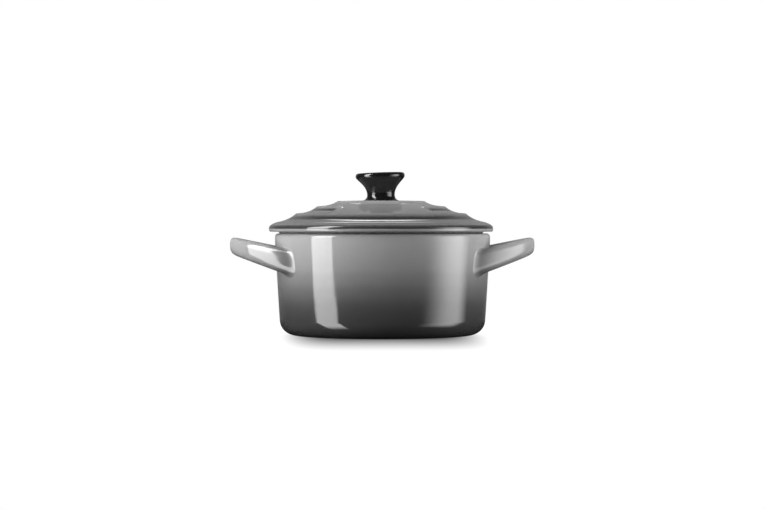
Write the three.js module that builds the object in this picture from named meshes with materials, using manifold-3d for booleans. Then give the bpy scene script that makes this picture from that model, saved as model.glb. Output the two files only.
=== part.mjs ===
// Mini cocotte: a small round stoneware pot with two loop handles and a terraced lid that lifts off by its knob.
// Millimetres, +Z up. The origin is the centre of the standing ring on the table. The handles lie along X, and
// the lid's plain panel faces -Y.
import * as THREE from "three";
import { mergeVertices } from "three/addons/utils/BufferGeometryUtils.js";
import Module from "manifold-3d";

// Pot
const POT_HEIGHT = 47.5; // table to the top of the rim
const POT_RADIUS = 50.2; // outside of the wall at its widest, just under the rim
const WALL = 5; // thickness of the wall
const WALL_DRAFT = 3.4; // degrees that the wall leans in towards the foot
const RIM_BAND = 3.9; // height of the upright band at the top of the wall
const RIM_ROUND = 1.6; // rounding of the rim's outer edge
const MOUTH_ROUND = 1; // rounding of the rim's inner edge
const FLOOR_HEIGHT = 6; // table to the floor inside
const INSIDE_CORNER = 8; // rounding between the floor and the wall inside
const CORNER_HEIGHT = 7; // where the outside of the wall starts to turn under
const FOOT_INSET = 8; // standing ring in from the foot of the wall
const FOOT_RING_WIDTH = 4; // flat that the pot stands on
const FOOT_RECESS = 1.2; // hollow inside the standing ring
const CORNER_FULLNESS = 4; // how far the wall runs on before it turns under
const FOOT_FULLNESS = 4.6; // how far the underside runs out before it turns up

// Loop handles
const HANDLE_REACH = 20.9; // beyond the pot's widest radius
const HANDLE_WIDTH = 54; // across both arms at the wall
const HANDLE_BAR = 8; // breadth of the bar, seen from above
const HANDLE_DROP = 5.9; // top of the bar under the rim, at the wall
const HANDLE_RISE = 4.5; // climb of the top of the bar from the wall to the tip
const HANDLE_ROOT_HEIGHT = 10.9; // depth of the bar at the wall
const HANDLE_TIP_HEIGHT = 8; // depth of the bar at the tip
const HANDLE_ROUND = 2.8; // rounding of the bar's edges
const HANDLE_RUN_IN = 5; // how far the loop is drawn on inside the wall before it is trimmed
const LUTING_GAP = 0.3; // joint between a stuck-on piece and the piece that carries it

// Lid
const LID_OVERHANG = 2.1; // flange beyond the pot's widest radius
const LID_THICKNESS = 5; // crown of the lid
const LID_PLAY = 1; // locating ring inside the mouth, all round
const LOCATING_RING_DEPTH = 4; // below the seat
const LOCATING_RING_WIDTH = 4;
const SEAT_WIDTH = 2.1; // seat beyond the mouth
const SEAT_STEP = 0.8; // flange's underside above the seat
const FLANGE_THICKNESS = 4.5;
const FLANGE_NOSE = 3.9; // rounded edge of the flange, along the radius
const FLANGE_NOSE_HEIGHT = 1.7; // widest point above the flange's underside
const FLANGE_NOSE_FULLNESS = 1.6; // how far the nose runs up before it turns in
const UNDERSIDE_RISE = 3; // upright inner side of the locating ring, above the seat
const UNDERSIDE_REACH = 16; // how far the hollow's slope runs in before it levels out

// Terraces of the lid from the flange to the crown: the tread outside each riser, then the riser
const TERRACES = [
  { tread: 0, run: 8.4, rise: 3.7 },
  { tread: 2.7, run: 6.1, rise: 2.7 },
  { tread: 3, run: 5.6, rise: 1.85 },
];
const RISER_BEND = { run: 0.35, rise: 0.28 }; // where each hollow riser turns up, as shares of its step
const CREST_RUN = 0.9; // rounded crest, along the radius
const CREST_RISE = 0.35;
const TREAD_RISE = 0.25; // fall of each tread, and of the crown, towards its crest
const PANEL_TERRACE = 1; // the terrace that fades into the plain front panel
const PANEL_HALF_ANGLE = 40; // degrees each side of the front
const PANEL_FADE = 8; // degrees over which the terrace comes back

// Knob
const KNOB_HEIGHT = 13.6;
const KNOB_HEAD_RADIUS = 11.5;
const KNOB_HEAD_HEIGHT = 11.6; // widest point above the lid
const KNOB_EDGE = 1.7; // rounding of the head's top edge
const KNOB_DOME = 0.25; // rise of the head's top
const KNOB_WAIST_RADIUS = 6.45;
const KNOB_WAIST_HEIGHT = 2.7;
const KNOB_HEAD_FULLNESS = 1.6; // how far the head runs down before it tapers
const KNOB_WAIST_FULLNESS = 4.5; // how far the waist runs up before it flares
const KNOB_FOOT_RADIUS = 8.4;
const KNOB_FOOT_FULLNESS = 2.1; // how far the waist runs down before it spreads
const KNOB_LAND = 0.5; // flat crown around the knob's foot
const SPIGOT_RADIUS = 4;
const SPIGOT_LENGTH = 1.8;

// Fineness of the facets
const ROUND_SEGMENTS = 60;
const KNOB_SEGMENTS = 40;
const CURVE_STEPS = 4;
const HANDLE_STEPS = 30;
const HANDLE_CURVE_STEPS = 2;

// Places that several pieces share
const radians = THREE.MathUtils.degToRad;
const mouthRadius = POT_RADIUS - WALL;
const flangeRadius = POT_RADIUS + LID_OVERHANG;
const flangeTop = POT_HEIGHT + SEAT_STEP + FLANGE_THICKNESS;
const bandBottom = POT_HEIGHT - RIM_BAND;
const terraces = layTerraces();
const crownHeight = terraces.at(-1).lip.y + TREAD_RISE;

// Outside radius of the pot's wall at a height.
function wallRadius(height) {
  return POT_RADIUS - Math.tan(radians(WALL_DRAFT)) * Math.max(0, bandBottom - height);
}

// The foot, bend, crest and lip of each terrace's riser, from the flange inwards.
function layTerraces() {
  let outer = new THREE.Vector2(flangeRadius - FLANGE_NOSE, flangeTop);
  return TERRACES.map(({ tread, run, rise }) => {
    const foot = new THREE.Vector2(outer.x - tread, outer.y + (tread ? TREAD_RISE : 0));
    const bend = new THREE.Vector2(foot.x - run + RISER_BEND.run * run, foot.y + RISER_BEND.rise * rise);
    const crest = new THREE.Vector2(foot.x - run, foot.y + rise);
    const lip = new THREE.Vector2(crest.x - CREST_RUN, crest.y + CREST_RISE);
    outer = lip;
    return { foot, bend, crest, lip };
  });
}

// A solid of revolution about Z from a profile of (radius, height) points that starts and ends on the axis, drawn
// from the top down. The lathe takes it from the bottom up, and the seam lies at the front, towards -Y.
function turned(profile, segments = ROUND_SEGMENTS) {
  const points = profile.getPoints(CURVE_STEPS).reverse();
  return new THREE.LatheGeometry(points, segments).rotateX(Math.PI / 2);
}

function potGeometry() {
  const insideRadius = (height) => wallRadius(height) - WALL;
  const rimRound = Math.min(RIM_ROUND, WALL / 3);
  const mouthRound = Math.min(MOUTH_ROUND, WALL / 3);
  const footWall = wallRadius(CORNER_HEIGHT);
  const footRadius = footWall - FOOT_INSET;
  const ringInside = footRadius - FOOT_RING_WIDTH;
  const profile = new THREE.Path();
  profile.moveTo(0, FLOOR_HEIGHT);
  profile.lineTo(insideRadius(FLOOR_HEIGHT) - INSIDE_CORNER, FLOOR_HEIGHT);
  const cornerTop = FLOOR_HEIGHT + INSIDE_CORNER;
  profile.quadraticCurveTo(insideRadius(FLOOR_HEIGHT), FLOOR_HEIGHT, insideRadius(cornerTop), cornerTop);
  profile.lineTo(mouthRadius, bandBottom);
  profile.lineTo(mouthRadius, POT_HEIGHT - mouthRound);
  profile.quadraticCurveTo(mouthRadius, POT_HEIGHT, mouthRadius + mouthRound, POT_HEIGHT);
  profile.lineTo(POT_RADIUS - rimRound, POT_HEIGHT);
  profile.quadraticCurveTo(POT_RADIUS, POT_HEIGHT, POT_RADIUS, POT_HEIGHT - rimRound);
  profile.lineTo(POT_RADIUS, bandBottom);
  profile.lineTo(footWall, CORNER_HEIGHT);
  const turnHeight = CORNER_HEIGHT - CORNER_FULLNESS;
  profile.bezierCurveTo(wallRadius(turnHeight), turnHeight, footRadius + FOOT_FULLNESS, 0, footRadius, 0);
  profile.lineTo(ringInside, 0);
  profile.lineTo(ringInside - FOOT_RECESS, FOOT_RECESS);
  profile.lineTo(0, FOOT_RECESS);
  return turned(profile);
}

// The crown, the terraces, the rounded flange, the seat, the locating ring and the hollow underside.
function lidGeometry() {
  const underFlange = POT_HEIGHT + SEAT_STEP;
  const noseHeight = underFlange + FLANGE_NOSE_HEIGHT;
  const ringOutside = mouthRadius - LID_PLAY;
  const ringInside = ringOutside - LOCATING_RING_WIDTH;
  const socketFloor = crownHeight - SPIGOT_LENGTH - LUTING_GAP;
  const socketRadius = SPIGOT_RADIUS + LUTING_GAP;
  const underside = crownHeight - LID_THICKNESS;
  const profile = new THREE.Path();
  profile.moveTo(0, socketFloor);
  profile.lineTo(socketRadius, socketFloor);
  profile.lineTo(socketRadius, crownHeight);
  profile.lineTo(KNOB_FOOT_RADIUS + KNOB_LAND, crownHeight);
  for (const { foot, bend, crest, lip } of [...terraces].reverse()) {
    profile.lineTo(lip.x, lip.y);
    profile.quadraticCurveTo((lip.x + crest.x) / 2, lip.y, crest.x, crest.y);
    profile.quadraticCurveTo(bend.x, bend.y, foot.x, foot.y);
  }
  profile.quadraticCurveTo(flangeRadius, noseHeight + FLANGE_NOSE_FULLNESS, flangeRadius, noseHeight);
  profile.quadraticCurveTo(flangeRadius, underFlange, flangeRadius - FLANGE_NOSE_HEIGHT, underFlange);
  profile.lineTo(mouthRadius + SEAT_WIDTH + SEAT_STEP, underFlange);
  profile.lineTo(mouthRadius + SEAT_WIDTH, POT_HEIGHT);
  profile.lineTo(ringOutside, POT_HEIGHT);
  profile.lineTo(ringOutside, POT_HEIGHT - LOCATING_RING_DEPTH);
  profile.lineTo(ringInside, POT_HEIGHT - LOCATING_RING_DEPTH);
  profile.lineTo(ringInside, POT_HEIGHT + UNDERSIDE_RISE);
  profile.quadraticCurveTo(ringInside - UNDERSIDE_REACH, underside, 0, underside);
  return fadePanel(turned(profile));
}

// At the front, one terrace fades into an even slope between the lip below it and the foot of the terrace above.
function fadePanel(geometry) {
  const low = terraces[PANEL_TERRACE - 1].lip;
  const high = terraces[PANEL_TERRACE + 1].foot;
  const point = new THREE.Vector3();
  const position = geometry.attributes.position;
  for (let i = 0; i < position.count; i += 1) {
    point.fromBufferAttribute(position, i);
    const radius = Math.hypot(point.x, point.y);
    const slope = THREE.MathUtils.mapLinear(radius, low.x, high.x, low.y, high.y);
    const onTop = point.z > slope - LID_THICKNESS / 2;
    if (!onTop || radius > low.x || radius < high.x) {
      continue;
    }
    const angle = THREE.MathUtils.radToDeg(Math.abs(Math.atan2(point.x, -point.y)));
    const fade = 1 - THREE.MathUtils.smoothstep(angle, PANEL_HALF_ANGLE, PANEL_HALF_ANGLE + PANEL_FADE);
    position.setZ(i, THREE.MathUtils.lerp(point.z, slope, fade));
  }
  return geometry;
}

// The knob stands on the crown, and its spigot goes into the lid's socket.
function knobGeometry() {
  const top = crownHeight + KNOB_HEIGHT;
  const head = crownHeight + KNOB_HEAD_HEIGHT;
  const waist = crownHeight + KNOB_WAIST_HEIGHT;
  const edgeRadius = KNOB_HEAD_RADIUS - KNOB_EDGE;
  const profile = new THREE.Path();
  profile.moveTo(0, top);
  profile.quadraticCurveTo(edgeRadius / 2, top, edgeRadius, top - KNOB_DOME);
  profile.quadraticCurveTo(KNOB_HEAD_RADIUS, top - KNOB_DOME, KNOB_HEAD_RADIUS, head);
  profile.bezierCurveTo(
    KNOB_HEAD_RADIUS,
    head - KNOB_HEAD_FULLNESS,
    KNOB_WAIST_RADIUS,
    waist + KNOB_WAIST_FULLNESS,
    KNOB_WAIST_RADIUS,
    waist,
  );
  profile.quadraticCurveTo(KNOB_WAIST_RADIUS, waist - KNOB_FOOT_FULLNESS, KNOB_FOOT_RADIUS, crownHeight);
  profile.lineTo(SPIGOT_RADIUS, crownHeight);
  profile.lineTo(SPIGOT_RADIUS, crownHeight - SPIGOT_LENGTH);
  profile.lineTo(0, crownHeight - SPIGOT_LENGTH);
  return turned(profile, KNOB_SEGMENTS);
}

// Centre line of a handle, seen from above: a parabola whose ends lie inside the wall.
class HandleLoop extends THREE.Curve {
  constructor() {
    super();
    const halfWidth = HANDLE_WIDTH / 2;
    this.wall = Math.sqrt(POT_RADIUS ** 2 - halfWidth ** 2);
    this.reach = POT_RADIUS + HANDLE_REACH - HANDLE_BAR / 2 - this.wall;
    this.halfWidth = halfWidth - HANDLE_BAR / 2;
    this.end = Math.sqrt(1 + HANDLE_RUN_IN / this.reach);
  }

  getPoint(share, target = new THREE.Vector3()) {
    const along = this.end * (2 * share - 1);
    return target.set(this.wall + this.reach * (1 - along ** 2), this.halfWidth * along, 0);
  }
}

// Section of a handle's bar: a rectangle with rounded edges, its depth along x and its breadth along y.
function barSection() {
  const deep = HANDLE_TIP_HEIGHT / 2;
  const broad = HANDLE_BAR / 2;
  const round = Math.min(HANDLE_ROUND, deep, broad);
  const corners = [[1, 1], [-1, 1], [-1, -1], [1, -1]];
  const section = new THREE.Shape();
  corners.forEach(([x, y], i) => {
    const start = Math.PI / 4 + (i - 0.5) * (Math.PI / 2);
    section.absarc(x * (deep - round), y * (broad - round), round, start, start + Math.PI / 2);
  });
  return section;
}

// The bar is swept round the loop, then deepened towards the wall and raised towards the tip.
function handleGeometry() {
  const swept = new THREE.ExtrudeGeometry(barSection(), {
    steps: HANDLE_STEPS,
    curveSegments: HANDLE_CURVE_STEPS,
    extrudePath: new HandleLoop(),
  });
  const position = swept.attributes.position;
  for (let i = 0; i < position.count; i += 1) {
    const share = (position.getX(i) - POT_RADIUS) / HANDLE_REACH;
    const top = POT_HEIGHT - HANDLE_DROP + HANDLE_RISE * share;
    const depth = THREE.MathUtils.lerp(HANDLE_ROOT_HEIGHT, HANDLE_TIP_HEIGHT, share);
    position.setZ(i, top - depth / 2 + (position.getZ(i) / HANDLE_TIP_HEIGHT) * depth);
  }
  return cut(swept, potEnvelope());
}

// Everything inside the pot's outer wall, grown by the luting gap, which trims the handles' roots.
function potEnvelope() {
  const profile = new THREE.Path();
  profile.moveTo(0, POT_HEIGHT);
  profile.lineTo(POT_RADIUS + LUTING_GAP, POT_HEIGHT);
  profile.lineTo(POT_RADIUS + LUTING_GAP, bandBottom);
  profile.lineTo(wallRadius(0) + LUTING_GAP, 0);
  profile.lineTo(0, 0);
  return turned(profile);
}

const wasm = await Module();
wasm.setup();

// A closed geometry as a solid that can be cut.
function solid(geometry) {
  const bare = geometry.clone().deleteAttribute("normal").deleteAttribute("uv");
  const merged = mergeVertices(bare, 1e-3);
  const mesh = new wasm.Mesh({
    numProp: 3,
    vertProperties: merged.attributes.position.array,
    triVerts: new Uint32Array(merged.index.array),
  });
  return new wasm.Manifold(mesh);
}

// The first geometry without what the second one holds.
function cut(kept, removed) {
  const mesh = solid(kept).subtract(solid(removed)).getMesh();
  const geometry = new THREE.BufferGeometry();
  geometry.setAttribute("position", new THREE.BufferAttribute(mesh.vertProperties, 3));
  geometry.setIndex(new THREE.BufferAttribute(mesh.triVerts, 1));
  geometry.computeVertexNormals();
  return geometry;
}

const greyGlaze = new THREE.MeshStandardMaterial({ color: 0x8c8c8c, roughness: 0.12, metalness: 0 });
const blackGlaze = new THREE.MeshStandardMaterial({ color: 0x141414, roughness: 0.1, metalness: 0 });

function piece(name, geometry, material) {
  const mesh = new THREE.Mesh(geometry, material);
  mesh.name = name;
  return mesh;
}

const handle = handleGeometry();
const pot = new THREE.Group();
pot.add(piece("pot_body", potGeometry(), greyGlaze));
pot.add(piece("right_handle", handle, greyGlaze));
const leftHandle = piece("left_handle", handle, greyGlaze);
leftHandle.rotation.z = Math.PI;
pot.add(leftHandle);

const lid = new THREE.Group();
lid.add(piece("lid", lidGeometry(), greyGlaze));
lid.add(piece("knob", knobGeometry(), blackGlaze));

const cocotte = new THREE.Group();
cocotte.add(pot, lid);

export default cocotte;
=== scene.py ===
"""Looks of a mini cocotte: a glazed stoneware pot with loop handles and a terraced lid with a black knob."""

import math

import bmesh
import bpy
from bpy.props import FloatProperty, FloatVectorProperty, PointerProperty
from mathutils import Matrix, Vector
from mathutils.geometry import interpolate_bezier


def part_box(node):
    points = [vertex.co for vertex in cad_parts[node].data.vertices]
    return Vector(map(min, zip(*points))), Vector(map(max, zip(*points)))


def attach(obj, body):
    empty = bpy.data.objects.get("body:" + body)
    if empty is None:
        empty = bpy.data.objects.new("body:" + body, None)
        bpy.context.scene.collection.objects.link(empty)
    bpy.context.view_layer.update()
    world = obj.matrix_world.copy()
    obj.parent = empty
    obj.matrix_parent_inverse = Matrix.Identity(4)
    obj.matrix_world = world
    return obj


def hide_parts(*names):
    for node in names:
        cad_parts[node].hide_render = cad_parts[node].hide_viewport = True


bl_info = {
    "name": "Mini cocotte",
    "version": (1, 0, 0),
    "blender": (4, 5, 0),
    "location": "View3D > Sidebar > Cocotte",
    "description": "Glazed stoneware cocotte with a lifting lid, and the white stage that it stands on",
    "category": "Add Mesh",
}

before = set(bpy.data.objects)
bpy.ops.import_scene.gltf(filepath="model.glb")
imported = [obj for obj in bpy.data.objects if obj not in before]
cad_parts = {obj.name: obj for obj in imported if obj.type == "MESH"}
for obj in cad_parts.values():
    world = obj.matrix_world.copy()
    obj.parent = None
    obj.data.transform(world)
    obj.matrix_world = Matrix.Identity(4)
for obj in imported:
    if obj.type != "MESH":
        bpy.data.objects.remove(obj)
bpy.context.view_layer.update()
MM = 0.001

# Fineness of the meshes
TURN_STEPS = 240
KNOB_TURN_STEPS = 128
CURVE_STEPS = 14
SUPPORT = 0.25 * MM
HANDLE_RINGS = 96
HANDLE_FILLET_RINGS = 12
HANDLE_SIDES = 48
CARD_STEPS_ACROSS = 48
CARD_STEPS_UP = 96
FLOOR_STEPS = 128
HALVINGS = 40
MERGE = 0.002 * MM

# What covers a turned piece besides its outer glaze: pale glaze, no glaze, and painted shade, a dark glaze
# colour laid where shade falls
COVERS = ("inside", "bare", "thin")

pot_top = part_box("pot_body")[1]
lid_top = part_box("lid")[1]
knob_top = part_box("knob")[1]
handle_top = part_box("right_handle")[1]


# Settings that a user would change


def length(name, description, metres):
    return FloatProperty(
        name=name, description=description, default=metres, unit="LENGTH", subtype="DISTANCE"
    )


def angle(name, description, degrees):
    return FloatProperty(name=name, description=description, default=math.radians(degrees), subtype="ANGLE")


def colour(name, description, red, green, blue):
    return FloatVectorProperty(
        name=name, description=description, default=(red, green, blue), min=0, max=1, subtype="COLOR"
    )


class PotSizes(bpy.types.PropertyGroup):
    """Sizes of the pot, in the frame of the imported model."""

    radius: length("Radius", "Outside of the wall under the rim", pot_top.x)
    height: length("Height", "Table to the top of the rim", pot_top.z)
    wall: length("Wall", "Thickness of the wall", 5 * MM)
    draft: angle("Draft", "Lean of the wall towards the foot", 3.4)
    rim_band: length("Rim band", "Upright band at the top of the wall", 3.9 * MM)
    rim_round: length("Rim round", "Rounding of the rim's outer edge", 1.9 * MM)
    mouth_round: length("Mouth round", "Rounding of the rim's inner edge", 1.2 * MM)
    floor_height: length("Floor", "Table to the floor inside", 6 * MM)
    inside_corner: length("Inside corner", "Rounding between floor and wall inside", 9 * MM)
    corner_height: length("Corner height", "Where the wall starts to turn under", 7 * MM)
    corner_fullness: length("Corner fullness", "How far the wall runs on before it turns under", 4 * MM)
    foot_inset: length("Foot inset", "Standing ring in from the foot of the wall", 8 * MM)
    foot_fullness: length("Foot fullness", "How far the underside runs out before it turns up", 4.6 * MM)
    foot_width: length("Foot width", "Flat that the pot stands on", 4 * MM)
    foot_recess: length("Foot recess", "Hollow inside the standing ring", 1.2 * MM)
    foot_edge: length("Foot edge", "Rounding of the hollow's edges", 0.8 * MM)

    def wall_radius(self, height):
        """Outside radius of the wall at a height."""
        return self.radius - math.tan(self.draft) * max(0.0, self.height - self.rim_band - height)


class HandleSizes(bpy.types.PropertyGroup):
    """Sizes of the loop handles."""

    reach: length("Reach", "Beyond the pot's widest radius", handle_top.x - pot_top.x)
    width: length("Width", "Across both arms at the wall", 54 * MM)
    bar: length("Bar", "Breadth of the bar, seen from above", 8 * MM)
    drop: length("Drop", "Top of the bar under the rim, at the wall", 5.9 * MM)
    rise: length("Rise", "Climb of the top of the bar from the wall to the tip", 4.5 * MM)
    root_depth: length("Root depth", "Depth of the bar at the wall", 10.9 * MM)
    tip_depth: length("Tip depth", "Depth of the bar at the tip", 8.0 * MM)
    squareness: FloatProperty(name="Squareness", description="2 is an oval bar, more is squarer", default=3.2)
    fillet: length("Fillet", "Slip fillet along the bar where it meets the wall", 4.0 * MM)
    flare: length("Flare", "Slip fillet out from the bar on the wall", 1.2 * MM)
    sink: length("Sink", "How far the fillet's edge lies under the glaze of the wall", 0.04 * MM)


class LidSizes(bpy.types.PropertyGroup):
    """Sizes of the lid."""

    radius: length("Radius", "Edge of the flange", lid_top.x)
    thickness: length("Thickness", "Crown of the lid", 5 * MM)
    play: length("Play", "Locating ring inside the mouth, all round", 1 * MM)
    ring_depth: length("Ring depth", "Locating ring below the seat", 4 * MM)
    ring_width: length("Ring width", "Breadth of the locating ring", 4 * MM)
    ring_round: length("Ring round", "Rounding of the locating ring's edges", 1 * MM)
    seat_width: length("Seat width", "Seat beyond the mouth", 2.1 * MM)
    seat_step: length("Seat step", "Flange's underside above the seat", 0.8 * MM)
    flange: length("Flange", "Thickness of the flange", 4.5 * MM)
    nose: length("Nose", "Rounded edge of the flange, along the radius", 3.9 * MM)
    nose_height: length("Nose height", "Widest point above the flange's underside", 1.7 * MM)
    nose_edge: length("Nose edge", "Rounding of the flange's lower edge", 0.9 * MM)
    nose_fullness: length("Nose fullness", "How far the nose runs up before it turns in", 1.6 * MM)
    underside_rise: length("Underside rise", "Upright inner side of the ring, above the seat", 3 * MM)
    underside_reach: length("Underside reach", "How far the hollow's slope runs in", 16 * MM)
    crest: length("Crest", "Rounded crest of a terrace, along the radius", 0.9 * MM)
    crest_rise: length("Crest rise", "Height of that rounding", 0.35 * MM)
    tread_rise: length("Tread rise", "Fall of each tread towards its crest", 0.25 * MM)
    panel: angle("Panel", "Half width of the plain front panel", 36)
    panel_fade: angle("Panel fade", "Where the middle terrace comes back", 8)
    shift: length("Shift", "How far left the loose lid rests, within its play", 0.7 * MM)


class KnobSizes(bpy.types.PropertyGroup):
    """Sizes of the knob."""

    height: length("Height", "Above the lid", 13.2 * MM)
    head_radius: length("Head radius", "Widest part", knob_top.x)
    head_height: length("Head height", "Widest part above the lid", 11.3 * MM)
    edge: length("Edge", "Rounding of the head's top edge", 1.7 * MM)
    dome: length("Dome", "Rise of the head's top", 0.25 * MM)
    waist_radius: length("Waist radius", "Narrowest part", 6.45 * MM)
    waist_height: length("Waist height", "Narrowest part above the lid", 2.7 * MM)
    head_fullness: length("Head fullness", "How far the head runs down before it tapers", 1.6 * MM)
    waist_fullness: length("Waist fullness", "How far the waist runs up before it flares", 4.5 * MM)
    foot_radius: length("Foot radius", "Spread foot on the lid", 8.4 * MM)
    foot_fullness: length("Foot fullness", "How far the waist runs down before it spreads", 2.1 * MM)
    lean: angle("Lean", "Hand-set lean to the left", 2)


class GlazeColours(bpy.types.PropertyGroup):
    """Colours of the glazes and the bare clay."""

    rim: colour("Rim", "Outside glaze at the rim", 0.53, 0.53, 0.535)
    middle: colour("Middle", "Outside glaze half way down", 0.24, 0.24, 0.242)
    foot: colour("Foot", "Outside glaze at the foot", 0.078, 0.078, 0.079)
    crown: colour("Crown", "Lid glaze beside the knob", 0.46, 0.46, 0.465)
    flange: colour("Flange", "Lid glaze above the flange", 0.25, 0.25, 0.253)
    # This colour is painted shade: it darkens the lid's crests, risers, nose shoulder and the gap over the
    # seat, where shade falls
    thin: colour("Thin", "Lid glaze where it runs thin over an edge", 0.06, 0.06, 0.061)
    inside: colour("Inside", "Glaze inside the pot and under the lid", 0.7, 0.67, 0.61)
    clay: colour("Clay", "Bare stoneware", 0.55, 0.45, 0.35)
    knob: colour("Knob", "Black glaze of the knob", 0.012, 0.012, 0.013)


class CocotteSettings(bpy.types.PropertyGroup):
    """All the settings of the cocotte."""

    pot: PointerProperty(type=PotSizes)
    handle: PointerProperty(type=HandleSizes)
    lid: PointerProperty(type=LidSizes)
    knob: PointerProperty(type=KnobSizes)
    colours: PointerProperty(type=GlazeColours)


# Shader maths


class Term:
    """A shader socket in Python arithmetic: each operator adds one Math node."""

    def __init__(self, graph, socket):
        self.graph = graph
        self.socket = socket

    def __add__(self, other):
        return self.graph.math("ADD", self, other)

    def __radd__(self, other):
        return self.graph.math("ADD", other, self)

    def __sub__(self, other):
        return self.graph.math("SUBTRACT", self, other)

    def __rsub__(self, other):
        return self.graph.math("SUBTRACT", other, self)

    def __mul__(self, other):
        return self.graph.math("MULTIPLY", self, other)

    def __truediv__(self, other):
        return self.graph.math("DIVIDE", self, other)


class Graph:
    """The node tree of a material or of the world, drawn node by node."""

    def __init__(self, tree):
        self.tree = tree
        tree.nodes.clear()

    def node(self, kind, settings=None, inputs=None):
        """Add a node, with its settings first and then a value or a link for each socket."""
        node = self.tree.nodes.new(kind)
        for name, value in (settings or {}).items():
            if name == "stops":
                set_stops(node.color_ramp, value)
            else:
                setattr(node, name, value)
        for key, value in (inputs or {}).items():
            if isinstance(value, Term):
                self.tree.links.new(value.socket, node.inputs[key])
            else:
                node.inputs[key].default_value = value
        return node

    def term(self, kind, settings=None, inputs=None, output=0):
        """Add a node and take one of its outputs."""
        return Term(self, self.node(kind, settings, inputs).outputs[output])

    def math(self, operation, *values):
        return self.term("ShaderNodeMath", {"operation": operation}, dict(enumerate(values)))

    def object_place(self):
        return self.term("ShaderNodeTexCoord", output="Object")

    def axes(self, vector):
        parts = self.node("ShaderNodeSeparateXYZ", inputs={0: vector})
        return [Term(self, socket) for socket in parts.outputs]

    def attribute(self, name):
        return self.term("ShaderNodeAttribute", {"attribute_name": name}, output="Fac")

    def noise(self, place, size, detail=2.0):
        """Noise between 0 and 1 with features of a size in metres."""
        return self.term("ShaderNodeTexNoise", None, {"Vector": place, "Scale": 1 / size, "Detail": detail})

    def smooth(self, value, low, high):
        """0 below low, 1 above high, and eased between them."""
        inputs = {"Value": value, "From Min": low, "From Max": high}
        return self.term("ShaderNodeMapRange", {"interpolation_type": "SMOOTHSTEP"}, inputs)

    def ramp(self, value, stops):
        return self.term("ShaderNodeValToRGB", {"stops": stops}, {"Fac": value}, output="Color")

    def mix(self, share, first, second):
        """A colour between two colours."""
        inputs = {0: share, 6: first, 7: second}
        return self.term("ShaderNodeMix", {"data_type": "RGBA"}, inputs, output=2)

    def tint(self, base, value):
        """A colour made lighter or darker by a number around 1."""
        inputs = {0: 1.0, 6: base, 7: value}
        return self.term("ShaderNodeMix", {"data_type": "RGBA", "blend_type": "MULTIPLY"}, inputs, output=2)


def set_stops(color_ramp, stops):
    color_ramp.interpolation = "CARDINAL"
    while len(color_ramp.elements) < len(stops):
        color_ramp.elements.new(1.0)
    for element, (position, value) in zip(color_ramp.elements, stops):
        element.position = position
        element.color = value


def rgba(value):
    return (*value, 1.0)


def shade(value, share):
    """A colour made darker to a share of itself."""
    return rgba([part * share for part in value])


# Glazes and clay

GLAZE_IOR = 1.5
GLAZE_GLOSS = 0.05
GLAZE_RELIEF = 0.03 * MM
GLAZE_WAVE = 14 * MM
GLAZE_PEEL = 2.6 * MM
PEEL_SHARE = 0.2
SMEAR_SIZE = 24 * MM
SMEAR = 0.05
MOTTLE_SIZE = 5 * MM
MOTTLE = 0.1
DRIFT = 0.06
POT_DRIFT_SIZE = 26 * MM
LID_DRIFT_SIZE = 20 * MM
EDGE_WAVE_SIZE = 7 * MM
EDGE_WAVE = 0.5
SPECK_SIZE = 0.7 * MM
SPECK_DARKENING = 0.25
CLAY_GRAIN_SIZE = 0.35 * MM
CLAY_GRAIN = 0.4
CLAY_ROUGHNESS = 0.85
ROOT_PAINTED_SHADE = 0.45
SHADE_WAVE_SIZE = 3 * MM
SHADE_WAVE = 0.15
KNOB_RELIEF = 0.025 * MM
KNOB_THIN_SIZE = 4 * MM
KNOB_THIN = 0.6
KNOB_BROWN = (2.2, 1.8, 1.5)
KNOB_SMEAR_SIZE = 8 * MM
KNOB_SMEAR = 0.06


def new_graph(name):
    material = bpy.data.materials.new(name)
    material.use_nodes = True
    return material, Graph(material.node_tree)


def finish(graph, base, roughness, relief, relief_depth):
    """Close a material: relief bumps the surface by relief_depth metres."""
    bump = graph.term(
        "ShaderNodeBump", None, {"Strength": 1.0, "Distance": relief_depth, "Height": relief}, output="Normal"
    )
    inputs = {"Base Color": base, "Roughness": roughness, "IOR": GLAZE_IOR, "Normal": bump}
    surface = graph.term("ShaderNodeBsdfPrincipled", None, inputs)
    graph.node("ShaderNodeOutputMaterial", None, {"Surface": surface})


def glaze_relief(graph, place):
    """Orange peel on slow waves, between 0 and 1."""
    waves = graph.noise(place, GLAZE_WAVE, 1.0) * (1 - PEEL_SHARE)
    return waves + graph.noise(place, GLAZE_PEEL, 1.0) * PEEL_SHARE


def drift(graph, place, size):
    """Slow change of the height at which a glaze fades."""
    return (graph.noise(place, size, 1.0) - 0.5) * DRIFT


def mottle(graph, place):
    """Small changes of a glaze's colour, around 1."""
    return 1 - MOTTLE / 2 + graph.noise(place, MOTTLE_SIZE, 3.0) * MOTTLE


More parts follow.
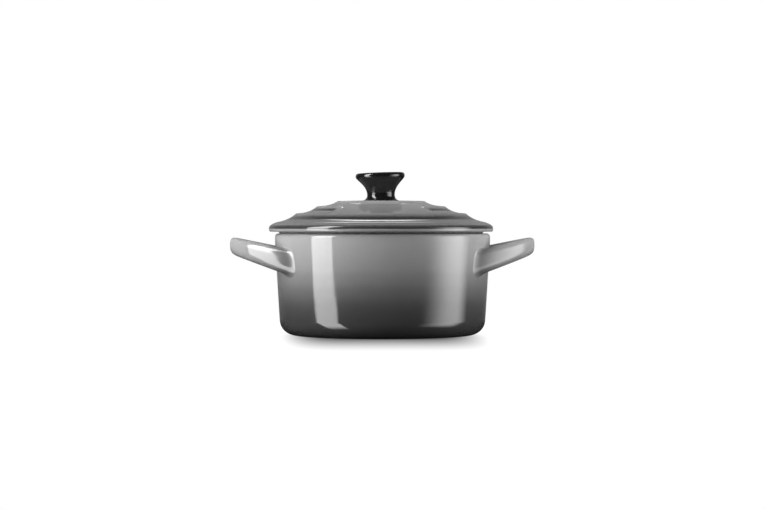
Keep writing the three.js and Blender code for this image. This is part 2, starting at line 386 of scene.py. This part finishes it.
def cover(graph, place, outer, colours):
    """Outer glaze, pale inner glaze and bare clay, each up to a wavy edge: colour, roughness and relief."""
    wave = (graph.noise(place, EDGE_WAVE_SIZE) - 0.5) * EDGE_WAVE
    inside = graph.smooth(graph.attribute("inside") + wave, 0.4, 0.6)
    bare = graph.smooth(graph.attribute("bare") + wave, 0.45, 0.55)
    speck = graph.smooth(graph.noise(place, SPECK_SIZE, 1.0), 0.68, 0.74)
    grain = graph.noise(place, CLAY_GRAIN_SIZE, 3.0)
    pale = graph.tint(rgba(colours.inside), 1.0 - speck * SPECK_DARKENING)
    clay = graph.tint(rgba(colours.clay), 1 - CLAY_GRAIN / 2 + grain * CLAY_GRAIN)
    glazed = graph.mix(inside, outer, pale)
    smear = graph.noise(place, SMEAR_SIZE, 2.0) * SMEAR
    roughness = (GLAZE_GLOSS + smear) * (1.0 - bare) + bare * CLAY_ROUGHNESS
    relief = glaze_relief(graph, place) * (1.0 - bare) + bare * grain
    return graph.mix(bare, glazed, clay), roughness, relief


def ombre_glaze(colours, height):
    """Glaze of the pot and handles: light at the rim, almost black at the foot, with painted shade in the
    crease beside each fillet.
    """
    material, graph = new_graph("ombre_glaze")
    place = graph.object_place()
    level = graph.axes(place)[2] / height + drift(graph, place, POT_DRIFT_SIZE)
    stops = [
        (0.0, rgba(colours.foot)),
        (0.2, rgba(colours.foot)),
        (0.36, shade(colours.middle, 0.57)),
        (0.5, rgba(colours.middle)),
        (0.65, shade(colours.rim, 0.7)),
        (1.0, rgba(colours.rim)),
    ]
    # Painted shade: the glaze darkens in the crease beside each handle's fillet
    unshaded = 1.0 - graph.attribute("thin") * ROOT_PAINTED_SHADE
    outer = graph.tint(graph.ramp(level, stops), mottle(graph, place) * unshaded)
    base, roughness, relief = cover(graph, place, outer, colours)
    finish(graph, base, roughness, relief, GLAZE_RELIEF)
    return material


def lid_glaze(colours, low, high):
    """Glaze of the lid by height: light at the crown and under the flange's nose, darker between them, with
    painted shade on its crests, risers, nose and over the seat.
    """
    material, graph = new_graph("lid_glaze")
    place = graph.object_place()
    level = (graph.axes(place)[2] - low) / (high - low) + drift(graph, place, LID_DRIFT_SIZE)
    under = shade(colours.rim, 0.75)
    stops = [
        (0.0, under),
        (0.14, under),
        (0.26, rgba(colours.flange)),
        (0.5, rgba(colours.flange)),
        (1.0, rgba(colours.crown)),
    ]
    unshaded = graph.tint(graph.ramp(level, stops), mottle(graph, place))
    # Painted shade: a dark colour laid over the crests, risers, nose shoulder and the gap over the seat, with
    # a wavy edge
    wave = (graph.noise(place, SHADE_WAVE_SIZE) - 0.5) * SHADE_WAVE
    thin = graph.smooth(graph.attribute("thin") + wave, 0.3, 0.85)
    outer = graph.mix(thin, unshaded, rgba(colours.thin))
    base, roughness, relief = cover(graph, place, outer, colours)
    finish(graph, base, roughness, relief, GLAZE_RELIEF)
    return material


def knob_glaze(colours):
    """Black gloss glaze of the knob, a shade browner where it runs thin."""
    material, graph = new_graph("knob_glaze")
    place = graph.object_place()
    thin = graph.smooth(graph.noise(place, KNOB_THIN_SIZE, 3.0), 0.5, 0.8)
    brown = [value * share for value, share in zip(colours.knob, KNOB_BROWN)]
    base = graph.mix(thin * KNOB_THIN, rgba(colours.knob), rgba(brown))
    roughness = GLAZE_GLOSS + graph.noise(place, KNOB_SMEAR_SIZE, 2.0) * KNOB_SMEAR
    finish(graph, base, roughness, glaze_relief(graph, place), KNOB_RELIEF)
    return material


# Turned pieces


class Profile:
    """Half section of a turned piece, from the axis and back to it, with what covers each point."""

    def __init__(self, radius, height, **cover):
        self.points = [Vector((radius, 0.0, height))]
        self.covers = [[cover.get(name, 0.0) for name in COVERS]]

    def add(self, points, cover):
        """Add points over which each cover changes evenly to its value, or through a middle one in a pair."""
        start = self.covers[-1]
        values = [cover.get(name, 0.0) for name in COVERS]
        legs = [
            value if isinstance(value, tuple) else ((before + value) / 2, value)
            for before, value in zip(start, values)
        ]
        for number, point in enumerate(points, 1):
            share = 2 * number / len(points)
            self.points.append(point)
            self.covers.append([
                before + (middle - before) * share if share < 1 else middle + (after - middle) * (share - 1)
                for before, (middle, after) in zip(start, legs)
            ])

    def line(self, radius, height, **cover):
        """A straight stretch, with a point close to each end that keeps its shading straight."""
        start = self.points[-1]
        end = Vector((radius, 0.0, height))
        step = (end - start).normalized() * min(SUPPORT, (end - start).length / 3)
        self.add([start + step, end - step, end], cover)

    def bend(self, corner_radius, corner_height, radius, height, **cover):
        """A round stretch that would meet at the corner if it were straight."""
        corner = Vector((corner_radius, 0.0, corner_height))
        self.curve(corner, corner, radius, height, pull=2 / 3, **cover)

    def curve(self, first, second, radius, height, pull=1.0, **cover):
        """A curve whose ends head for the two handles."""
        start = self.points[-1]
        end = Vector((radius, 0.0, height))
        near = start.lerp(first, pull)
        far = end.lerp(second, pull)
        self.add(interpolate_bezier(start, near, far, end, CURVE_STEPS + 1)[1:], cover)


def turn(profile, steps):
    """Spin a profile into a closed solid about Z."""
    shape = bmesh.new()
    layers = [shape.verts.layers.float.new(name) for name in COVERS]
    verts = []
    for point, cover in zip(profile.points, profile.covers):
        vert = shape.verts.new(point)
        for layer, value in zip(layers, cover):
            vert[layer] = value
        verts.append(vert)
    edges = [shape.edges.new(pair) for pair in zip(verts, verts[1:])]
    bmesh.ops.spin(
        shape, geom=verts + edges, axis=(0, 0, 1), cent=(0, 0, 0), angle=math.tau, steps=steps, use_merge=True
    )
    bmesh.ops.remove_doubles(shape, verts=shape.verts[:], dist=MERGE)
    bmesh.ops.recalc_face_normals(shape, faces=shape.faces[:])
    return shape


def make_piece(name, shape, material, node, body):
    """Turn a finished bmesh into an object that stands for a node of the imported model."""
    for face in shape.faces:
        face.smooth = True
    mesh = bpy.data.meshes.new(name)
    shape.to_mesh(mesh)
    shape.free()
    mesh.materials.append(material)
    piece = bpy.data.objects.new(name, mesh)
    bpy.context.scene.collection.objects.link(piece)
    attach(piece, body)
    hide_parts(node)
    return piece


def shared_material(name, make, *values):
    """The material of that name, made on its first use."""
    return bpy.data.materials.get(name) or make(*values)


# Pot


def pot_profile(pot):
    """Floor, inside wall, rim, outside wall, foot and the hollow under the base."""
    mouth = pot.radius - pot.wall
    band = pot.height - pot.rim_band
    corner_top = pot.floor_height + pot.inside_corner
    floor_edge = pot.wall_radius(pot.floor_height) - pot.wall
    foot_wall = pot.wall_radius(pot.corner_height)
    foot = foot_wall - pot.foot_inset
    ring_inside = foot - pot.foot_width
    hollow = ring_inside - pot.foot_recess
    turn_height = pot.corner_height - pot.corner_fullness
    profile = Profile(0.0, pot.floor_height, inside=1.0)
    profile.line(floor_edge - pot.inside_corner, pot.floor_height, inside=1.0)
    profile.bend(floor_edge, pot.floor_height, pot.wall_radius(corner_top) - pot.wall, corner_top, inside=1.0)
    profile.line(mouth, band, inside=1.0)
    profile.line(mouth, pot.height - pot.mouth_round, inside=1.0)
    profile.bend(mouth, pot.height, mouth + pot.mouth_round, pot.height, inside=0.0)
    profile.line(pot.radius - pot.rim_round, pot.height)
    profile.bend(pot.radius, pot.height, pot.radius, pot.height - pot.rim_round)
    profile.line(pot.radius, band)
    profile.line(foot_wall, pot.corner_height)
    turn_under = Vector((pot.wall_radius(turn_height), 0.0, turn_height))
    profile.curve(turn_under, Vector((foot + pot.foot_fullness, 0.0, 0.0)), foot, 0.0)
    profile.line(foot - pot.foot_edge, 0.0, bare=1.0)
    profile.line(ring_inside + pot.foot_edge, 0.0, bare=1.0)
    profile.bend(ring_inside, 0.0, ring_inside - pot.foot_edge, pot.foot_edge, bare=0.0)
    profile.bend(hollow, pot.foot_recess, hollow - pot.foot_edge, pot.foot_recess)
    profile.line(0.0, pot.foot_recess)
    return profile


class COCOTTE_OT_pot(bpy.types.Operator):
    """Turn the pot, with its rounded rim, its pale inside and its bare standing ring"""

    bl_idname = "cocotte.pot"
    bl_label = "Pot"

    def execute(self, context):
        settings = context.scene.cocotte
        shape = turn(pot_profile(settings.pot), TURN_STEPS)
        glaze = shared_material("ombre_glaze", ombre_glaze, settings.colours, settings.pot.height)
        make_piece("stoneware_pot", shape, glaze, "pot_body", "pot")
        return {"FINISHED"}


# Handles

# Where the search for the wall ends, as a share of the loop's half width
PAST_WALL = 1.4
# Rings past the fillet over which the painted shade in its crease fades
ROOT_SHADE_RINGS = 4


class HandleForm:
    """A loop handle as a surface: a squarish bar on a parabola, with a slip fillet at the wall."""

    def __init__(self, pot, handle):
        self.pot = pot
        self.handle = handle
        half_width = handle.width / 2
        self.wall = math.sqrt(pot.radius**2 - half_width**2)
        self.reach = pot.radius + handle.reach - handle.bar / 2 - self.wall
        self.half_width = half_width - handle.bar / 2

    def section(self, side):
        """The section at a share of the way round: a place, from -1 to 1 both ways, and the way out."""
        around = math.tau * side
        power = self.handle.squareness
        x, y = math.cos(around), math.sin(around)
        size = (abs(x) ** power + abs(y) ** power) ** (-1 / power)
        x, y = x * size, y * size
        out = Vector((math.copysign(abs(x) ** (power - 1), x), math.copysign(abs(y) ** (power - 1), y)))
        return x, y, out.normalized()

    def point(self, along, side, swell=0.0):
        """A point on the bar, swelled outwards by a length. Along is about -1 and 1 at the wall."""
        across, up, out = self.section(side)
        normal = Vector((self.half_width, 2 * self.reach * along)).normalized()
        breadth = across * self.handle.bar / 2 + out.x * swell
        x = self.wall + self.reach * (1 - along**2) + normal.x * breadth
        y = self.half_width * along + normal.y * breadth
        share = (x - self.pot.radius) / self.handle.reach
        top = self.pot.height - self.handle.drop + self.handle.rise * share
        depth = self.handle.root_depth + (self.handle.tip_depth - self.handle.root_depth) * share
        return Vector((x, y, top - depth / 2 + up * depth / 2 + out.y * swell))

    def clearance(self, point):
        """Distance of a point from the wall."""
        return math.hypot(point.x, point.y) - self.pot.wall_radius(point.z) + self.handle.sink

    def meeting(self, side):
        """Where a line along the bar meets the wall, by halving."""
        outside, inside = 0.0, PAST_WALL
        for _ in range(HALVINGS):
            middle = (outside + inside) / 2
            if self.clearance(self.point(middle, side)) > 0:
                outside = middle
            else:
                inside = middle
        return (outside + inside) / 2

    def bar_end(self, side):
        """Where a line along the bar leaves the fillet."""
        along = self.meeting(side)
        return along - self.handle.fillet / math.hypot(2 * self.reach * along, self.half_width)

    def fillet_point(self, bow, side):
        """A point on the fillet, which bends from the wall, at bow 0, to the bar, at bow 1."""
        corner = self.meeting(side)
        wall = self.point(corner, side, self.handle.flare)
        radius = math.hypot(wall.x, wall.y)
        wall.xy *= (radius - self.clearance(wall)) / radius
        bar = self.point(self.bar_end(side), side)
        return wall * (1 - bow) ** 2 + self.point(corner, side) * (2 * bow * (1 - bow)) + bar * bow**2

    def hollow(self, ring):
        """How much painted shade lies in the crease beside the fillet, between 0 and 1."""
        past_fillet = min(ring, HANDLE_RINGS - ring) - HANDLE_FILLET_RINGS
        return math.exp(-((past_fillet / ROOT_SHADE_RINGS) ** 2))

    def place(self, ring, side):
        """The point of a ring, counted from one end of the loop to the other."""
        near_end = min(ring, HANDLE_RINGS - ring)
        way = 1.0 if ring * 2 > HANDLE_RINGS else -1.0
        if near_end <= HANDLE_FILLET_RINGS:
            point = self.fillet_point(near_end / HANDLE_FILLET_RINGS, side)
            return Vector((point.x, way * point.y, point.z))
        share = (HANDLE_RINGS / 2 - near_end) / (HANDLE_RINGS / 2 - HANDLE_FILLET_RINGS)
        return self.point(way * self.bar_end(side) * share, side)


def handle_shape(pot, handle):
    """A grid that is rolled into the handle's bar, with its ends closed inside the wall."""
    form = HandleForm(pot, handle)
    shape = bmesh.new()
    thin = shape.verts.layers.float.new("thin")
    bmesh.ops.create_grid(shape, x_segments=HANDLE_RINGS, y_segments=HANDLE_SIDES, size=0.5)
    for vert in shape.verts:
        ring = round((vert.co.x + 0.5) * HANDLE_RINGS)
        # Painted shade in the crease beside the fillet
        vert[thin] = form.hollow(ring)
        vert.co = form.place(ring, vert.co.y + 0.5)
    bmesh.ops.remove_doubles(shape, verts=shape.verts[:], dist=MERGE)
    ends = [edge for edge in shape.edges if edge.is_boundary]
    for edge in ends:
        edge.smooth = False
    bmesh.ops.holes_fill(shape, edges=ends)
    bmesh.ops.recalc_face_normals(shape, faces=shape.faces[:])
    return shape


class COCOTTE_OT_handles(bpy.types.Operator):
    """Roll the two loop handles and blend them into the wall"""

    bl_idname = "cocotte.handles"
    bl_label = "Handles"

    def execute(self, context):
        settings = context.scene.cocotte
        glaze = shared_material("ombre_glaze", ombre_glaze, settings.colours, settings.pot.height)
        for side, half_turn in (("right", 0.0), ("left", math.pi)):
            shape = handle_shape(settings.pot, settings.handle)
            bmesh.ops.rotate(shape, verts=shape.verts[:], matrix=Matrix.Rotation(half_turn, 3, "Z"))
            make_piece(f"{side}_loop_handle", shape, glaze, f"{side}_handle", "pot")
        return {"FINISHED"}


# Lid

TERRACES = (
    # tread outside the riser, then the riser's run and rise
    (0.0, 8.4 * MM, 3.7 * MM),
    (2.7 * MM, 6.1 * MM, 2.7 * MM),
    (3.0 * MM, 5.6 * MM, 1.85 * MM),
)
# Painted shade on a terrace: on its crest, half way down its riser and, below 0 to end it early, at its foot
TERRACE_PAINTED_SHADE = (
    (0.3, 1.0, -1.8),
    (0.3, 0.9, -1.8),
    (0.1, 0.3, 0.0),
)
# Painted shade on the nose's shoulder, and in the gap over the seat
NOSE_PAINTED_SHADE = (0.55, 1.0)
GAP_PAINTED_SHADE = 0.45
PANEL_TERRACE = 1
RISER_BEND = Vector((0.35, 0.0, 0.28))


class LidForm:
    """Heights and radii of the lid, from the flange to the crown."""

    def __init__(self, pot, lid):
        self.pot = pot
        self.lid = lid
        self.mouth = pot.radius - pot.wall
        self.under_flange = pot.height + lid.seat_step
        outer = Vector((lid.radius - lid.nose, 0.0, self.under_flange + lid.flange))
        self.feet, self.bends, self.crests, self.lips = [], [], [], []
        for tread, run, rise in TERRACES:
            foot = outer + Vector((-tread, 0.0, lid.tread_rise if tread else 0.0))
            crest = foot + Vector((-run, 0.0, rise))
            outer = crest + Vector((-lid.crest, 0.0, lid.crest_rise))
            self.feet.append(foot)
            self.bends.append(crest + Vector((RISER_BEND.x * run, 0.0, (RISER_BEND.z - 1) * rise)))
            self.crests.append(crest)
            self.lips.append(outer)
        self.crown = outer.z + lid.tread_rise

    def profile(self, knob):
        """Crown, terraces, flange, seat, locating ring and hollow underside."""
        lid, pot = self.lid, self.pot
        nose_height = self.under_flange + lid.nose_height
        ring_outside = self.mouth - lid.play
        ring_inside = ring_outside - lid.ring_width
        ring_bottom = pot.height - lid.ring_depth
        seat = self.mouth + lid.seat_width
        underside = self.crown - lid.thickness
        profile = Profile(0.0, self.crown)
        profile.line(knob.foot_radius, self.crown)
        rows = list(zip(self.feet, self.bends, self.crests, self.lips, TERRACE_PAINTED_SHADE))
        for foot, bend, crest, lip, (crest_shade, riser_shade, foot_shade) in reversed(rows):
            profile.line(lip.x, lip.z)
            profile.bend((lip.x + crest.x) / 2, lip.z, crest.x, crest.z, thin=crest_shade)
            profile.bend(bend.x, bend.z, foot.x, foot.z, thin=(riser_shade, foot_shade))
        # Painted shade on the nose's shoulder
        profile.bend(lid.radius, nose_height + lid.nose_fullness, lid.radius, nose_height, thin=NOSE_PAINTED_SHADE)
        profile.line(lid.radius, self.under_flange + lid.nose_edge)
        profile.bend(lid.radius, self.under_flange, lid.radius - lid.nose_edge, self.under_flange)
        # Painted shade in the gap over the seat
        profile.line(seat + lid.seat_step, self.under_flange, thin=GAP_PAINTED_SHADE)
        profile.line(seat, pot.height, thin=GAP_PAINTED_SHADE)
        profile.line(ring_outside, pot.height, inside=1.0)
        profile.line(ring_outside, ring_bottom + lid.ring_round, inside=1.0)
        profile.bend(
            ring_outside, ring_bottom, ring_outside - lid.ring_round, ring_bottom, inside=1.0, bare=1.0
        )
        profile.line(ring_inside + lid.ring_round, ring_bottom, inside=1.0, bare=1.0)
        profile.bend(ring_inside, ring_bottom, ring_inside, ring_bottom + lid.ring_round, inside=1.0)
        profile.line(ring_inside, pot.height, inside=1.0)
        reach = Vector((ring_inside - lid.underside_reach, 0.0, underside))
        rise = Vector((ring_inside, 0.0, pot.height + lid.underside_rise))
        profile.curve(rise, reach, 0.0, underside, inside=1.0)
        return profile

    def fade_panel(self, shape):
        """At the front, the middle terrace fades into an even slope from the lip below to the next foot."""
        lid = self.lid
        low = self.lips[PANEL_TERRACE - 1]
        high = self.feet[PANEL_TERRACE + 1]
        thin = shape.verts.layers.float["thin"]
        for vert in shape.verts:
            radius = math.hypot(vert.co.x, vert.co.y)
            if not high.x < radius < low.x:
                continue
            slope = low.z + (high.z - low.z) * (low.x - radius) / (low.x - high.x)
            if vert.co.z < slope - lid.thickness / 2:
                continue
            beside = abs(math.atan2(vert.co.x, -vert.co.y)) - lid.panel
            fade = min(max(beside / lid.panel_fade, 0.0), 1.0)
            fade = fade * fade * (3 - 2 * fade)
            vert.co.z = slope + (vert.co.z - slope) * fade
            # The painted shade fades out with the terrace
            vert[thin] *= fade


class COCOTTE_OT_lid(bpy.types.Operator):
    """Turn the terraced lid, with its flange, seat and locating ring"""

    bl_idname = "cocotte.lid"
    bl_label = "Lid"

    def execute(self, context):
        settings = context.scene.cocotte
        form = LidForm(settings.pot, settings.lid)
        shape = turn(form.profile(settings.knob), TURN_STEPS)
        form.fade_panel(shape)
        bmesh.ops.translate(shape, verts=shape.verts[:], vec=(-settings.lid.shift, 0.0, 0.0))
        glaze = shared_material("lid_glaze", lid_glaze, settings.colours, form.under_flange, form.crown)
        make_piece("terraced_lid", shape, glaze, "lid", "lid")
        return {"FINISHED"}


# Knob


def knob_profile(knob, crown):
    """Domed top, rounded edge, taper, waist and spread foot."""
    top = crown + knob.height
    head = crown + knob.head_height
    waist = crown + knob.waist_height
    edge = knob.head_radius - knob.edge
    profile = Profile(0.0, top)
    profile.bend(edge / 2, top, edge, top - knob.dome)
    profile.bend(knob.head_radius, top - knob.dome, knob.head_radius, head)
    taper = Vector((knob.head_radius, 0.0, head - knob.head_fullness))
    flare = Vector((knob.waist_radius, 0.0, waist + knob.waist_fullness))
    profile.curve(taper, flare, knob.waist_radius, waist)
    profile.bend(knob.waist_radius, waist - knob.foot_fullness, knob.foot_radius, crown)
    profile.line(0.0, crown)
    return profile


class COCOTTE_OT_knob(bpy.types.Operator):
    """Turn the flared black knob"""

    bl_idname = "cocotte.knob"
    bl_label = "Knob"

    def execute(self, context):
        settings = context.scene.cocotte
        crown = LidForm(settings.pot, settings.lid).crown
        shape = turn(knob_profile(settings.knob, crown), KNOB_TURN_STEPS)
        for vert in shape.verts:
            height = vert.co.z - crown
            lean = settings.knob.lean * min(height / settings.knob.head_height, 1.0)
            vert.co = Matrix.Rotation(-lean, 3, "Y") @ Vector((vert.co.x, vert.co.y, height))
            vert.co += Vector((-settings.lid.shift, 0.0, crown))
        glaze = shared_material("knob_glaze", knob_glaze, settings.colours)
        make_piece("flared_knob", shape, glaze, "knob", "lid")
        return {"FINISHED"}


# Stage

# What the photograph gives: its size, the size of a pixel at the pot's axis and the pixel row of the table
PHOTO_WIDTH = 765
PHOTO_HEIGHT = 510
PIXEL = 0.4673 * MM
TABLE_ROW = 335.0
CAMERA_DISTANCE = 1.09
CAMERA_ELEVATION = math.radians(0.78)
CAMERA_TURN = math.radians(1.6)
SENSOR = 36.0

FLOOR_RADIUS = 0.26
FLOOR_GREY = 0.12
FLOOR_GRAIN_SIZE = 2 * MM
FLOOR_GRAIN = 0.06
# Painted shadow: a pool around the foot where the floor's white glow to the camera fades out
SHADOW_WIDTH = 43.5 * MM
SHADOW_LENGTH = 104 * MM
SHADOW_FORWARD = 10 * MM
# How much sooner the painted shadow ends behind the pot than before it
SHADOW_BACK = 2.0
SHADOW_SQUARENESS = 3.0
SHADOW_EDGE = 1.5
# The floor's glow under the base, which only the underside sees
UNDER_RADIUS = 40 * MM
UNDER_EDGE = 0.9
UNDER_LIGHT = 0.8
CARD_DISTANCE = 1.2
CARDS = {
    # name: round from the front (left is negative) and up, both from and to in degrees, radiance,
    # the shares of its size over which it fades out at its first end, its last end and its foot,
    # how much brighter its upper half shows in the glaze, and whether the glaze shows it
    "left_softbox": (-81.5, -54.5, -46, 58, 8.0, 0.03, 0.08, 0.28, 0.8, True),
    "right_softbox": (43, 105, -32, 25, 5.8, 0.58, 0.32, 0.42, 0.0, True),
    "right_fill": (66, 115, 25, 55, 3.2, 0.1, 0.1, 0.1, 0.0, False),
    "back_strip": (166, 194, 34, 41, 4.2, 0.45, 0.45, 0.1, 0.0, True),
}
# Share of a card's height over which its glint comes in
GLINT_FADE = (0.46, 0.6)
# A card's swing to the front, in degrees: this much for the first degree under a height, and ever less below
CARD_SWING = 4.2
SWING_FROM = -6.6
SWING_POWER = 0.3
ROOM_GREY = 0.01
BACKDROP_GREY = 0.27
# Where the backdrop fades, as parts of a direction of length 1: towards the sides, the floor and the top
BACKDROP_SIDES = (0.55, 0.95)
BACKDROP_FOOT = (-0.12, 0.02)
BACKDROP_TOP = (0.5, 0.65)


def place_camera():
    """A long lens at the photograph's angle, with the pot's axis in the middle of the frame."""
    data = bpy.data.cameras.new("camera")
    data.sensor_width = SENSOR
    data.lens = SENSOR * CAMERA_DISTANCE / (PHOTO_WIDTH * PIXEL)
    camera = bpy.data.objects.new("camera", data)
    aim = Vector((0.0, 0.0, (TABLE_ROW - PHOTO_HEIGHT / 2) * PIXEL))
    flat = math.cos(CAMERA_ELEVATION)
    back = Vector((
        math.sin(-CAMERA_TURN) * flat,
        -math.cos(CAMERA_TURN) * flat,
        math.sin(CAMERA_ELEVATION),
    ))
    camera.location = aim + back * CAMERA_DISTANCE
    camera.rotation_euler = (-back).to_track_quat("-Z", "Y").to_euler()
    bpy.context.scene.collection.objects.link(camera)
    bpy.context.scene.camera = camera


def card_material(name, radiance, fade_in, fade_out, fade_low, glint):
    """Even light that fades towards the card's ends and foot, and glints from its upper half."""
    material, graph = new_graph(name)
    across, up = graph.attribute("across"), graph.attribute("up")
    level = graph.smooth(across, 0.0, fade_in) * (1.0 - graph.smooth(across, 1.0 - fade_out, 1.0))
    glossy = graph.term("ShaderNodeLightPath", output="Is Glossy Ray")
    level = level * graph.smooth(up, 0.0, fade_low) * (1.0 + glossy * graph.smooth(up, *GLINT_FADE) * glint)
    light = graph.term("ShaderNodeEmission", None, {"Strength": level * radiance})
    graph.node("ShaderNodeOutputMaterial", None, {"Surface": light})
    return material


def place_cards():
    """Soft boxes around the pot, bent round it, which light it and mostly show in its glaze."""
    for name, (start, end, low, high, *light, shows) in CARDS.items():
        shape = bmesh.new()
        across = shape.verts.layers.float.new("across")
        up = shape.verts.layers.float.new("up")
        bmesh.ops.create_grid(shape, x_segments=CARD_STEPS_ACROSS, y_segments=CARD_STEPS_UP, size=0.5)
        for vert in shape.verts:
            vert[across] = vert.co.x + 0.5
            vert[up] = vert.co.y + 0.5
            height = low + (high - low) * vert[up]
            swing = CARD_SWING * max(SWING_FROM - height, 0.0) ** SWING_POWER
            round_by = math.radians(start + (end - start) * vert[across] - math.copysign(swing, start))
            up_by = math.radians(height)
            way = Vector((
                math.sin(round_by) * math.cos(up_by),
                -math.cos(round_by) * math.cos(up_by),
                math.sin(up_by),
            ))
            vert.co = way * CARD_DISTANCE
        card = place_stage_mesh(name, shape, card_material(name, *light))
        card.visible_camera = False
        card.visible_glossy = shows


def place_stage_mesh(name, shape, material):
    mesh = bpy.data.meshes.new(name)
    shape.to_mesh(mesh)
    shape.free()
    mesh.materials.append(material)
    thing = bpy.data.objects.new(name, mesh)
    bpy.context.scene.collection.objects.link(thing)
    return thing


def floor_material():
    """White to the camera, with a painted shadow around the foot over the lamps' real shadow; clear to the
    glaze and from below, and dark to the pot's sides.
    """
    material, graph = new_graph("floor")
    place = graph.object_place()
    across, along, _ = graph.axes(place)
    # Painted shadow: the floor's white glow fades out in a pool around the foot
    beside = graph.math("POWER", graph.math("ABSOLUTE", across / SHADOW_WIDTH), SHADOW_SQUARENESS)
    near = (along + SHADOW_FORWARD) / SHADOW_LENGTH
    before = graph.math("MAXIMUM", near * -1.0, near * SHADOW_BACK)
    white_beyond_painted_shadow = graph.smooth(graph.math("SQRT", beside * beside + before * before), 0.0, SHADOW_EDGE)
    path = graph.node("ShaderNodeLightPath")
    camera = Term(graph, path.outputs["Is Camera Ray"])
    glossy = Term(graph, path.outputs["Is Glossy Ray"])
    radius = graph.math("SQRT", across * across + along * along)
    under = (1.0 - graph.smooth(radius, UNDER_RADIUS * UNDER_EDGE, UNDER_RADIUS)) * UNDER_LIGHT
    white = graph.term("ShaderNodeEmission", None, {"Strength": white_beyond_painted_shadow * camera + under * (1.0 - camera)})
    grain = 1 - FLOOR_GRAIN / 2 + graph.noise(place, FLOOR_GRAIN_SIZE) * FLOOR_GRAIN
    matte = graph.term("ShaderNodeBsdfDiffuse", None, {"Color": graph.tint(rgba([FLOOR_GREY] * 3), grain)})
    lit = graph.term("ShaderNodeAddShader", None, {0: white, 1: matte})
    below = graph.term("ShaderNodeNewGeometry", output="Backfacing")
    unseen = graph.math("MAXIMUM", below, glossy)
    clear = graph.term("ShaderNodeBsdfTransparent")
    surface = graph.term("ShaderNodeMixShader", None, {0: unseen, 1: lit, 2: clear})
    graph.node("ShaderNodeOutputMaterial", None, {"Surface": surface})
    return material


def place_floor():
    shape = bmesh.new()
    bmesh.ops.create_circle(shape, cap_ends=True, radius=FLOOR_RADIUS, segments=FLOOR_STEPS)
    place_stage_mesh("floor", shape, floor_material())


def light_room():
    """White to the camera; for the rest a dim room with a grey backdrop behind the pot."""
    world = bpy.data.worlds.new("studio")
    bpy.context.scene.world = world
    world.use_nodes = True
    graph = Graph(world.node_tree)
    way = graph.axes(graph.term("ShaderNodeTexCoord", output="Generated"))
    above = graph.smooth(way[2], *BACKDROP_FOOT) * (1.0 - graph.smooth(way[2], *BACKDROP_TOP))
    backdrop = graph.smooth(way[1], *BACKDROP_SIDES) * above * BACKDROP_GREY
    path = graph.node("ShaderNodeLightPath")
    camera, glossy, through = (
        Term(graph, path.outputs[f"Is {kind} Ray"]) for kind in ("Camera", "Glossy", "Transmission")
    )
    room = ROOM_GREY + (glossy + through) * backdrop
    strength = camera + (1.0 - camera) * room
    background = graph.term("ShaderNodeBackground", None, {"Color": (1, 1, 1, 1), "Strength": strength})
    graph.node("ShaderNodeOutputWorld", None, {"Surface": background})


class COCOTTE_OT_stage(bpy.types.Operator):
    """Set the camera, the lamps, the floor and the room"""

    bl_idname = "cocotte.stage"
    bl_label = "Stage"

    def execute(self, context):
        place_camera()
        place_cards()
        place_floor()
        light_room()
        context.scene.view_settings.view_transform = "Standard"
        return {"FINISHED"}


# Add-on


OPERATORS = (COCOTTE_OT_stage, COCOTTE_OT_pot, COCOTTE_OT_handles, COCOTTE_OT_lid, COCOTTE_OT_knob)


class COCOTTE_PT_pieces(bpy.types.Panel):
    """The pieces of the cocotte and their settings"""

    bl_idname = "COCOTTE_PT_pieces"
    bl_label = "Mini cocotte"
    bl_space_type = "VIEW_3D"
    bl_region_type = "UI"
    bl_category = "Cocotte"

    def draw(self, context):
        settings = context.scene.cocotte
        for operator in OPERATORS:
            self.layout.operator(operator.bl_idname)
        for group in (settings.pot, settings.handle, settings.lid, settings.knob, settings.colours):
            box = self.layout.box()
            for name in group.__annotations__:
                box.prop(group, name)


CLASSES = (
    PotSizes,
    HandleSizes,
    LidSizes,
    KnobSizes,
    GlazeColours,
    CocotteSettings,
    *OPERATORS,
    COCOTTE_PT_pieces,
)


def register():
    for cls in CLASSES:
        bpy.utils.register_class(cls)
    bpy.types.Scene.cocotte = PointerProperty(type=CocotteSettings)


def unregister():
    del bpy.types.Scene.cocotte
    for cls in reversed(CLASSES):
        bpy.utils.unregister_class(cls)


def main():
    register()
    bpy.ops.cocotte.stage()
    bpy.ops.cocotte.pot()
    bpy.ops.cocotte.handles()
    bpy.ops.cocotte.lid()
    bpy.ops.cocotte.knob()


if __name__ == "__main__":
    main()
